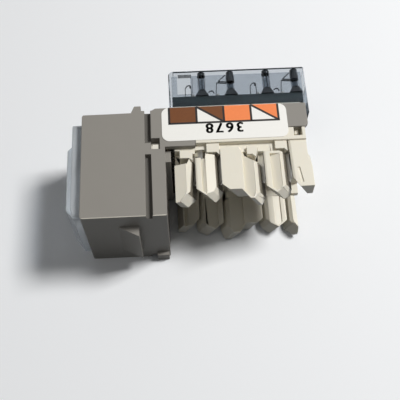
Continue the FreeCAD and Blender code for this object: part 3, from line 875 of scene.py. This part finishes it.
@dataclass
class Metalwork:
    """Spring contacts, forked blades, and the board with its solder joints."""

    count: int = 8
    tail_end: float = 0.01
    joint_radius: float = 0.42
    joint_high: float = 0.5
    joint_sunk: float = 0.02
    joint_ring: float = 0.18
    joint_sides: int = 16
    joint_waist: float = 0.62
    joint_curve: float = 0.6
    smooth_angle: float = 60.0

    def build(self) -> None:
        """Dress the metal parts and the board, and solder every tail."""
        for i in range(1, self.count + 1):
            dress(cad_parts[f"contact_{i}"], GOLD_WIRE)
            dress(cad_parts[f"idc_blade_{i}"], TIN_BLADE)
        dress(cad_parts["wiring_board"], SOLDER_MASK)
        self.solder()

    def solder(self) -> None:
        """Make one solder cone and copy it to each tail."""
        cone = self.cone(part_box("wiring_board")[1][1] / MM)
        joints = []
        for kind in ("contact", "idc_blade"):
            for i in range(1, self.count + 1):
                x, z = self.tail_place(f"{kind}_{i}")
                joints.append(moved_copy(cone, "joint", (x, 0.0, z)))
        bpy.data.objects.remove(cone)
        solder = merge("solder_joints", joints)
        dress(solder, SOLDER)
        fit_out(solder, Body.JACK, "blade_metal")

    def tail_place(self, node: str) -> Spot:
        """Find where a node's tail stands out of the board.

        Args:
            node: Frame node of a contact or a blade.

        Returns:
            X and Z of the middle of its end.
        """
        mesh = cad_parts[node].data
        top = max(v.co.y for v in mesh.vertices)
        ends = [v.co for v in mesh.vertices if v.co.y > top - self.tail_end * MM]
        return (sum(v.x for v in ends) / len(ends) / MM, sum(v.z for v in ends) / len(ends) / MM)

    def cone(self, board_far: float) -> bpy.types.Object:
        """Solder fillet round a tail at X and Z nought.

        Args:
            board_far: Y of the board's far face.

        Returns:
            The fillet, hollow-sided and shaded smooth.
        """
        middle = board_far + self.joint_high / 2 - self.joint_sunk
        rod = rod_piece("joint", (0.0, middle, 0.0), self.joint_radius, self.joint_high,
                        Axis.ALONG_Y, self.joint_sides)
        choose_all(rod)
        bpy.ops.mesh.bisect(plane_co=(0.0, (board_far + self.joint_ring) * MM, 0.0),
                            plane_no=(0, 1, 0))
        leave_edit()
        low = min(v.co.y for v in rod.data.vertices)
        high = max(v.co.y for v in rod.data.vertices)
        for vert in rod.data.vertices:
            share = (vert.co.y - low) / (high - low)
            waist = 1.0 - self.joint_waist * share ** self.joint_curve
            vert.co.x *= waist
            vert.co.z *= waist
        pick(rod)
        bpy.ops.object.shade_smooth_by_angle(angle=math.radians(self.smooth_angle))
        return rod


@dataclass
class SmokedCover:
    """Smoked tray over the board, with its bosses, ribs and raised ticks."""

    edge: float = 0.1
    shortest_edge: float = 0.5
    middle_z: float = 7.25
    boss_x: tuple[float, ...] = (11.48, 15.73, 21.03, 25.23)
    boss_z: float = 13.55
    boss_radius: float = 0.56
    boss_sides: int = 20
    bore_radius: float = 0.46
    bore_start: float = 0.9
    board_y: float = 11.03
    plug_y: float = 15.08
    plug_long: Span = (0.55, 1.7)
    foot_half: Span = (0.95, 0.4)
    foot_long: float = 1.05
    foot_deep: float = 0.5
    foot_taper: float = 0.8
    streaks: tuple[tuple[float, float], ...] = ((-0.4, 0.1), (0.08, 0.14), (0.42, 0.08))
    streak_z: Span = (13.9, 13.98)
    rib_z: Span = (13.76, 13.92)
    rib_wide: float = 0.1
    lone_rib: tuple[Spot, Spot] = ((10.12, 11.2), (10.12, 14.4))
    lone_wide: float = 0.06
    rib_paths: tuple[tuple[Spot, ...], ...] = (
        ((9.02, 11.05), (9.06, 12.4), (9.35, 12.85), (9.72, 12.95), (9.89, 12.6), (9.93, 11.05)),
        ((15.02, 14.5), (13.97, 13.49)),
        ((13.7, 13.2), (15.1, 13.05)),
        ((13.7, 13.2), (13.49, 11.05)),
        ((13.9, 13.42), (15.1, 13.3)),
        ((12.45, 11.55), (12.75, 11.82), (13.05, 11.78), (13.25, 11.4)))
    rib_repeats: int = 2
    rib_step: float = 9.52
    knob_at: Point = (9.82, 12.75, 13.7)
    knob_radius: float = 0.14
    knob_high: float = 0.35
    knob_sides: int = 12
    bar_x: Span = (8.05, 10.0)
    bar_y: Span = (14.0, 14.5)
    tick_count: int = 11
    tick_share: float = 0.78
    tick_z: Span = (-0.1, 0.02)
    rim_x: Span = (7.4, 26.5)
    rim_y: Span = (15.02, 15.13)
    rim_z: Span = (-0.2, -0.03)

    def build(self) -> None:
        """Copy and round the tray, then add what shows inside it."""
        obj = cad_copy("board_cover", "smoked_cover")
        soften(obj, self.edge, shortest=self.shortest_edge)
        dress(obj, SMOKED_PC)
        fit_out(obj, Body.JACK, "smoked_cover", "board_cover")
        # The plugs, feet, streaks, ribs, ticks and rim line are painted shade, nearly black.
        self.both_sides("boss_plugs", self.plugs(), DARK_PC_PAINTED_SHADE)
        # Rods of painted shade fill the bores.
        self.both_sides("short_bore_shade", self.bores(Boss.SHORT_PLUG), SMOKED_BORE_SHADE)
        self.both_sides("long_bore_shade", self.bores(Boss.LONG_PLUG), SMOKED_DEEP_BORE_SHADE)
        self.both_sides("inner_ribs", self.ribs(), DARK_PC_PAINTED_SHADE)
        self.both_sides("raised_bar", self.ticks(), DARK_PC_PAINTED_SHADE)
        self.both_sides("painted_rim_line", [self.painted_rim_line()], DARK_PC_PAINTED_SHADE)

    def both_sides(self, name: str, parts: list[bpy.types.Object], finish: Finish) -> None:
        """Join the parts of the upper side, copy them to the lower side and dress both.

        Args:
            name: First part of both pieces' names.
            parts: Mesh objects of the upper side.
            finish: Finish of both.
        """
        near = merge(f"{name}_upper", parts)
        far = mirrored_copy(near, f"{name}_lower", self.middle_z)
        for piece in (near, far):
            dress(piece, finish)
            fit_out(piece, Body.JACK, "smoked_cover")

    def plugs(self) -> list[bpy.types.Object]:
        """Painted shade: dark bore ends at the far wall, the flared feet, and streaks on the
        short-plugged.

        Returns:
            Plugs, feet and streaks.
        """
        out = []
        for i, x in enumerate(self.boss_x):
            kind = Boss(i % len(Boss))
            long = self.plug_long[kind.value]
            out.append(rod_piece("plug", (x, self.plug_y - long / 2, self.boss_z),
                                 self.boss_radius, long, Axis.ALONG_Y, self.boss_sides))
            out.append(self.foot(x))
            if kind is Boss.SHORT_PLUG:
                out += [strut("streak", (x + shift, self.board_y + self.bore_start),
                              (x + shift, self.plug_y - long), width, *self.streak_z)
                        for shift, width in self.streaks]
        return out

    def bores(self, kind: Boss) -> list[bpy.types.Object]:
        """Rods of painted shade in the bores, between foot and plug.

        Args:
            kind: Bosses to make them for.

        Returns:
            One rod a boss.
        """
        low = self.board_y + self.bore_start
        high = self.plug_y - self.plug_long[kind.value]
        return [rod_piece("bore", (x, (low + high) / 2, self.boss_z), self.bore_radius,
                          high - low, Axis.ALONG_Y, self.boss_sides)
                for x in self.boss_x[kind.value::len(Boss)]]

    def foot(self, x: float) -> bpy.types.Object:
        """Block of painted shade at a boss's foot that narrows to the boss's width.

        Args:
            x: Place of the boss.

        Returns:
            The tapered block.
        """
        wide, narrow = self.foot_half
        top = self.board_y + self.foot_long
        foot = box_piece("foot", (x - wide, self.board_y, self.boss_z - self.foot_deep),
                         (x + wide, top, self.boss_z + self.foot_deep))
        choose(foot, Element.VERTS, lambda v: v.co.y > top * MM - MERGE)
        bpy.ops.transform.resize(value=(narrow / wide, 1.0, self.foot_taper))
        leave_edit()
        return foot

    def ribs(self) -> list[bpy.types.Object]:
        """Thin ribs under the side wall, dark with painted shade: one straight, then a loop,
        gussets and a hook, twice.

        Returns:
            Ribs and the knobs on them.
        """
        out = [strut("rib", *self.lone_rib, self.lone_wide, *self.rib_z)]
        for n in range(self.rib_repeats):
            dx = n * self.rib_step
            for path in self.rib_paths:
                out += [strut("rib", (x0 + dx, y0), (x1 + dx, y1), self.rib_wide, *self.rib_z)
                        for (x0, y0), (x1, y1) in pairwise(path)]
            x, y, z = self.knob_at
            out.append(rod_piece("knob", (x + dx, y, z), self.knob_radius, self.knob_high,
                                 Axis.ALONG_Z, self.knob_sides))
        return out

    def wall(self) -> float:
        """Z of the cover's upper side."""
        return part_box("board_cover")[1][2] / MM

    def ticks(self) -> list[bpy.types.Object]:
        """Row of small raised ticks on the tray's side, dark with painted shade.

        Returns:
            The ticks.
        """
        (x0, x1), (y0, y1), (under, over) = self.bar_x, self.bar_y, self.tick_z
        step = (x1 - x0) / self.tick_count
        return [box_piece("tick", (x0 + i * step, y0, self.wall() + under),
                          (x0 + (i + self.tick_share) * step, y1, self.wall() + over))
                for i in range(self.tick_count)]

    def painted_rim_line(self) -> bpy.types.Object:
        """Painted dark line, for the look of the tray's far edge from outside.

        Returns:
            The line as a thin bar.
        """
        (x0, x1), (y0, y1), (under, over) = self.rim_x, self.rim_y, self.rim_z
        return box_piece("rim", (x0, y0, self.wall() + under), (x1, y1, self.wall() + over))


@dataclass
class ColourLabel:
    """Paper label with a band of colour fields and plain pin numbers."""

    corner: float = 1.1
    corner_faces: int = 8
    print_high: float = 0.012
    band_x: Span = (6.57, 22.09)
    band_y: Span = (6.0, 8.7)
    inks: tuple[Ink, ...] = (INK_BROWN, INK_BROWN, INK_ORANGE, INK_ORANGE)
    line_wide: float = 0.3
    line_prints: float = 2.0
    slant_prints: float = 1.9
    digits: str = "3678"
    digit_size: float = 2.2
    digit_gap: float = 1.3
    digit_bold: float = 0.14
    digit_place: Spot = (14.35, 5.78)

    def build(self) -> None:
        """Make the paper and its print."""
        low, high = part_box("wiring_label")
        x0, y0, z0 = (v / MM for v in low)
        x1, y1, z1 = (v / MM for v in high)
        top = z1 - 2 * self.print_high
        paper = box_piece("label_paper", (x0, y0, z0), (x1, y1, top))
        self.round_corners(paper)
        dress(paper, LABEL_PAPER)
        fit_out(paper, Body.JACK, "label", "wiring_label")
        self.print_lines(top)
        self.print_fields(top)
        self.print_digits(top)

    def round_corners(self, paper: bpy.types.Object) -> None:
        """Round the four upright edges of the paper.

        Args:
            paper: Square-cornered paper.
        """
        choose(paper, Element.EDGES, lambda e: abs(e.verts[0].co.z - e.verts[1].co.z) > MERGE)
        bpy.ops.mesh.bevel(offset=self.corner * MM, segments=self.corner_faces, affect="EDGES")
        leave_edit()

    def field_edges(self) -> list[float]:
        """Where the fields begin and end along the band.

        Returns:
            One X more than there are fields.
        """
        x0, x1 = self.band_x
        step = (x1 - x0) / len(self.inks)
        return [x0 + step * i for i in range(len(self.inks) + 1)]

    def print_lines(self, z: float) -> None:
        """Print the line under the band, those between the fields and the slanted ones.

        Args:
            z: Height of the paper.
        """
        edges = self.field_edges()
        y0, y1 = self.band_y
        half = self.line_wide / 2
        high = z + self.line_prints * self.print_high
        lines = [box_piece("line", (edges[0] - half, y0 - half, z),
                           (edges[-1] + half, y0 + half, high))]
        lines += [box_piece("line", (x - half, y0, z), (x + half, y1, high)) for x in edges]
        slant_high = z + self.slant_prints * self.print_high
        lines += [strut("line", (edges[i], y1), (edges[i + 1], y0), self.line_wide, z,
                        slant_high) for i in range(1, len(self.inks), 2)]
        ink = merge("label_lines", lines)
        dress(ink, INK_BLACK)
        fit_out(ink, Body.JACK, "label")

    def print_fields(self, z: float) -> None:
        """Print the colour fields, every second one split by a slanted line.

        Args:
            z: Height of the paper.
        """
        y0, y1 = self.band_y
        for i, (x0, x1) in enumerate(pairwise(self.field_edges())):
            patch = box_piece(f"label_field_{i + 1}", (x0, y0, z), (x1, y1, z + self.print_high))
            if i % 2 == 1:
                self.keep_far_half(patch, x0, x1, z)
            dress(patch, self.inks[i])
            fit_out(patch, Body.JACK, "label")

    def keep_far_half(self, patch: bpy.types.Object, x0: float, x1: float, z: float) -> None:
        """Cut a field along its slanted line and keep what lies beyond it.

        Args:
            patch: Field of ink.
            x0: Where the field begins.
            x1: Where it ends.
            z: Height of the paper.
        """
        y0, y1 = self.band_y
        choose_all(patch)
        bpy.ops.mesh.bisect(plane_co=(x0 * MM, y1 * MM, z * MM),
                            plane_no=Vector((y1 - y0, x1 - x0, 0.0)).normalized(),
                            use_fill=True, clear_inner=True)
        leave_edit()

    def print_digits(self, z: float) -> None:
        """Print the four pin numbers, upside down as seen from the posts.

        Args:
            z: Height of the paper.
        """
        deselect()
        x, y = self.digit_place
        bpy.ops.object.text_add(location=(x * MM, y * MM, z * MM), rotation=(0.0, 0.0, math.pi))
        text = bpy.context.object
        text.data.body = self.digits
        text.data.size = self.digit_size * MM
        text.data.align_x = "CENTER"
        text.data.space_character = self.digit_gap
        text.data.extrude = self.print_high / 2 * MM
        bpy.ops.object.convert(target="MESH")
        settle(text)
        half = self.digit_bold / 2
        strokes = [moved_copy(text, "stroke", (dx, dy, 0.0))
                   for dx in (-half, 0.0, half) for dy in (-half / 2, half / 2)]
        bpy.data.objects.remove(text)
        ink = merge("label_digits", strokes)
        dress(ink, INK_BLACK)
        fit_out(ink, Body.JACK, "label")


@dataclass
class PortCap:
    """Clear cap that plugs the port."""

    edge: float = 0.15
    edge_faces: int = 3

    def build(self) -> None:
        """Copy, round and dress the cap."""
        obj = cad_copy("dust_cap", "clear_port_cap")
        soften(obj, self.edge, segments=self.edge_faces)
        dress(obj, CLEAR_PP)
        fit_out(obj, Body.CAP, "clear_cap", "dust_cap")


@dataclass(frozen=True)
class Lamp:
    """Square soft lamp: place and size in metres, power in watts."""

    place: Point
    size: float
    power: float


@dataclass
class Studio:
    """Floor, lamps, room and camera, in metres and degrees."""

    floor_size: float = 1.2
    floor_colour: str = "#f2f3f4"
    floor_bounce: str = "#4b5056"
    floor_rough: float = 0.9
    floor_even: Span = (0.09, 0.22)
    floor_level: float = 0.88
    room_colour: str = "#f2f4f6"
    room_light: float = 0.13
    room_gloss: float = 0.5
    room_seen: float = 0.9
    lamps: tuple[Lamp, ...] = (Lamp((0.229, 0.064, 0.353), 0.10, 1.6),
                               Lamp((-0.15, -0.05, 0.35), 0.12, 0.07))
    lamp_target: Point = (0.010, 0.0, 0.005)
    camera_at: Point = (0.007891, -0.047297, 0.098624)
    azimuth: float = 3.32
    elevation: float = 63.88
    roll: float = 0.45
    lens: float = 63.0
    sensor: float = 36.0
    clip: Span = (0.005, 10.0)

    def build(self) -> None:
        """Make the whole studio."""
        self.floor()
        self.room()
        self.hang_lamps()
        self.camera()

    def floor(self) -> None:
        """Plain pale floor."""
        deselect()
        bpy.ops.mesh.primitive_plane_add(size=self.floor_size, location=(0, 0, 0))
        plane = bpy.context.object
        plane.name = "floor"
        plane.data.materials.append(self.floor_material())

    def floor_material(self) -> bpy.types.Material:
        """Pale matt board that throws back less light than it shows, so undersides stay deep.

        Returns:
            The material. Far from the jack it is evenly bright for what sees it.
        """
        mat = bpy.data.materials.new("pale_matt_floor")
        mat.use_nodes = True
        tree = mat.node_tree
        shader = tree.nodes["Principled BSDF"]
        shader.inputs["Roughness"].default_value = self.floor_rough
        path = add_node(tree, "ShaderNodeLightPath")
        seen = add_node(tree, "ShaderNodeMath", {"operation": "MAXIMUM"},
                        {0: path.outputs["Is Camera Ray"], 1: path.outputs["Is Glossy Ray"]})
        clear = add_node(tree, "ShaderNodeMath", {"operation": "MAXIMUM"},
                         {0: seen.outputs[0], 1: path.outputs["Is Transmission Ray"]})
        tint = add_node(tree, "ShaderNodeMix",
                        {"data_type": "RGBA", "in:6": linear(self.floor_bounce),
                         "in:7": linear(self.floor_colour)}, {"Factor": clear.outputs[0]})
        tree.links.new(tint.outputs[2], shader.inputs["Base Color"])
        place = add_node(tree, "ShaderNodeTexCoord")
        far = add_node(tree, "ShaderNodeVectorMath", {"operation": "LENGTH"},
                       {0: place.outputs["Object"]})
        start, end = self.floor_even
        rise = add_node(tree, "ShaderNodeMapRange",
                        {"interpolation_type": "SMOOTHSTEP", "in:From Min": start,
                         "in:From Max": end}, {"Value": far.outputs["Value"]})
        share = add_node(tree, "ShaderNodeMath", {"operation": "MULTIPLY"},
                         {0: rise.outputs["Result"], 1: clear.outputs[0]})
        even = add_node(tree, "ShaderNodeEmission",
                        {"in:Color": linear(self.floor_colour), "in:Strength": self.floor_level})
        blend = add_node(tree, "ShaderNodeMixShader", None,
                         {0: share.outputs[0], 1: shader.outputs[0], 2: even.outputs[0]})
        tree.links.new(blend.outputs[0], tree.nodes["Material Output"].inputs["Surface"])
        return mat

    def room(self) -> None:
        """Even pale room: bright to look at and in gloss, dim as a light."""
        world = bpy.data.worlds.new("soft_room")
        bpy.context.scene.world = world
        world.use_nodes = True
        tree = world.node_tree
        back = tree.nodes["Background"]
        back.inputs["Color"].default_value = linear(self.room_colour)
        path = add_node(tree, "ShaderNodeLightPath")
        seen = add_node(tree, "ShaderNodeMath", {"operation": "MAXIMUM"},
                        {0: path.outputs["Is Camera Ray"], 1: path.outputs["Is Transmission Ray"]})
        level = add_node(tree, "ShaderNodeMapRange",
                         {"in:To Min": self.room_light, "in:To Max": self.room_seen},
                         {"Value": seen.outputs[0]})
        gloss = add_node(tree, "ShaderNodeMapRange", {"in:To Max": self.room_gloss},
                         {"Value": path.outputs["Is Glossy Ray"]})
        total = add_node(tree, "ShaderNodeMath", {"operation": "MAXIMUM"},
                         {0: level.outputs[0], 1: gloss.outputs[0]})
        tree.links.new(total.outputs[0], back.inputs["Strength"])

    def hang_lamps(self) -> None:
        """Soft lamps, turned to the jack."""
        target = Vector(self.lamp_target)
        for i, plan in enumerate(self.lamps):
            data = bpy.data.lights.new(f"soft_lamp_{i + 1}", "AREA")
            data.size = plan.size
            data.energy = plan.power
            lamp = bpy.data.objects.new(data.name, data)
            bpy.context.scene.collection.objects.link(lamp)
            lamp.location = plan.place
            lamp.rotation_mode = "QUATERNION"
            lamp.rotation_quaternion = (target - Vector(plan.place)).to_track_quat("-Z", "Y")

    def camera(self) -> None:
        """Camera on the jack from the post side, high up."""
        data = bpy.data.cameras.new("camera")
        data.lens = self.lens
        data.sensor_width = self.sensor
        data.clip_start, data.clip_end = self.clip
        cam = bpy.data.objects.new("camera", data)
        bpy.context.scene.collection.objects.link(cam)
        az, el, roll = (math.radians(v) for v in (self.azimuth, self.elevation, self.roll))
        ahead = Vector((math.sin(az) * math.cos(el), math.cos(az) * math.cos(el),
                        -math.sin(el)))
        side = Vector((math.cos(az), -math.sin(az), 0.0))
        up = side.cross(ahead)
        right = side * math.cos(roll) + up * math.sin(roll)
        upward = up * math.cos(roll) - side * math.sin(roll)
        turn = Matrix((right, upward, -ahead)).transposed()
        cam.matrix_world = Matrix.Translation(Vector(self.camera_at)) @ turn.to_4x4()
        bpy.context.scene.camera = cam


def main() -> None:
    """Build every sub-assembly in order, then the studio."""
    bpy.context.scene.view_settings.view_transform = "Standard"
    for part in (FrameMoulding(), HousingMoulding(), Metalwork(), SmokedCover(), ColourLabel(),
                 PortCap(), Studio()):
        part.build()
        LOG.info("built %s", type(part).__name__)
    deselect()


if __name__ == "__main__":
    logging.basicConfig(level=logging.INFO)
    main()
